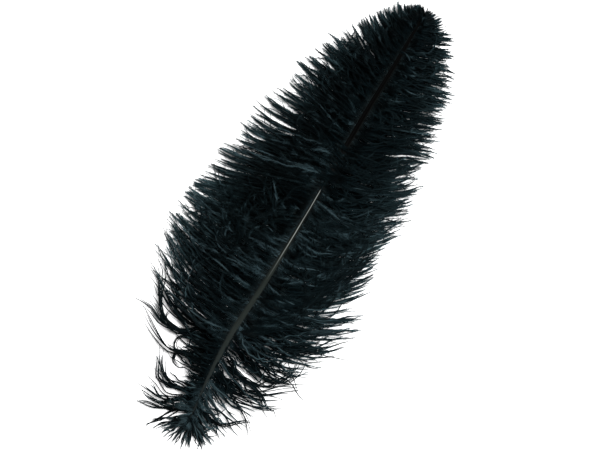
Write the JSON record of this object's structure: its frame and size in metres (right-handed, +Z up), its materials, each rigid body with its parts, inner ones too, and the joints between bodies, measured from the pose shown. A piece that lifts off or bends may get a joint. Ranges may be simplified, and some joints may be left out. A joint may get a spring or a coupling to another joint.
{
  "type": "ostrich feather",
  "caption": "Loose black-dyed ostrich plume lying flat: bowed horn shaft with a soft, furry vane of long curling barbs on each side.",
  "frame": {"origin": "centre of the footprint, on the surface the feather lies on", "axes": "+X from the quill end to the tip, +Y to the left of the shaft seen from above with the tip ahead, +Z up"},
  "size_m": [0.3084, 0.1295, 0.0132],
  "materials": {
    "horn": "satin dyed horn, brown-black, duller and browner towards the quill end",
    "barbs": "soft dyed barbs, black with a faint blue-green cast and a slight silk sheen"
  },
  "bodies": {
    "root": {"shaft": "horn", "left_vane": "barbs", "right_vane": "barbs"}
  },
  "joints": []
}
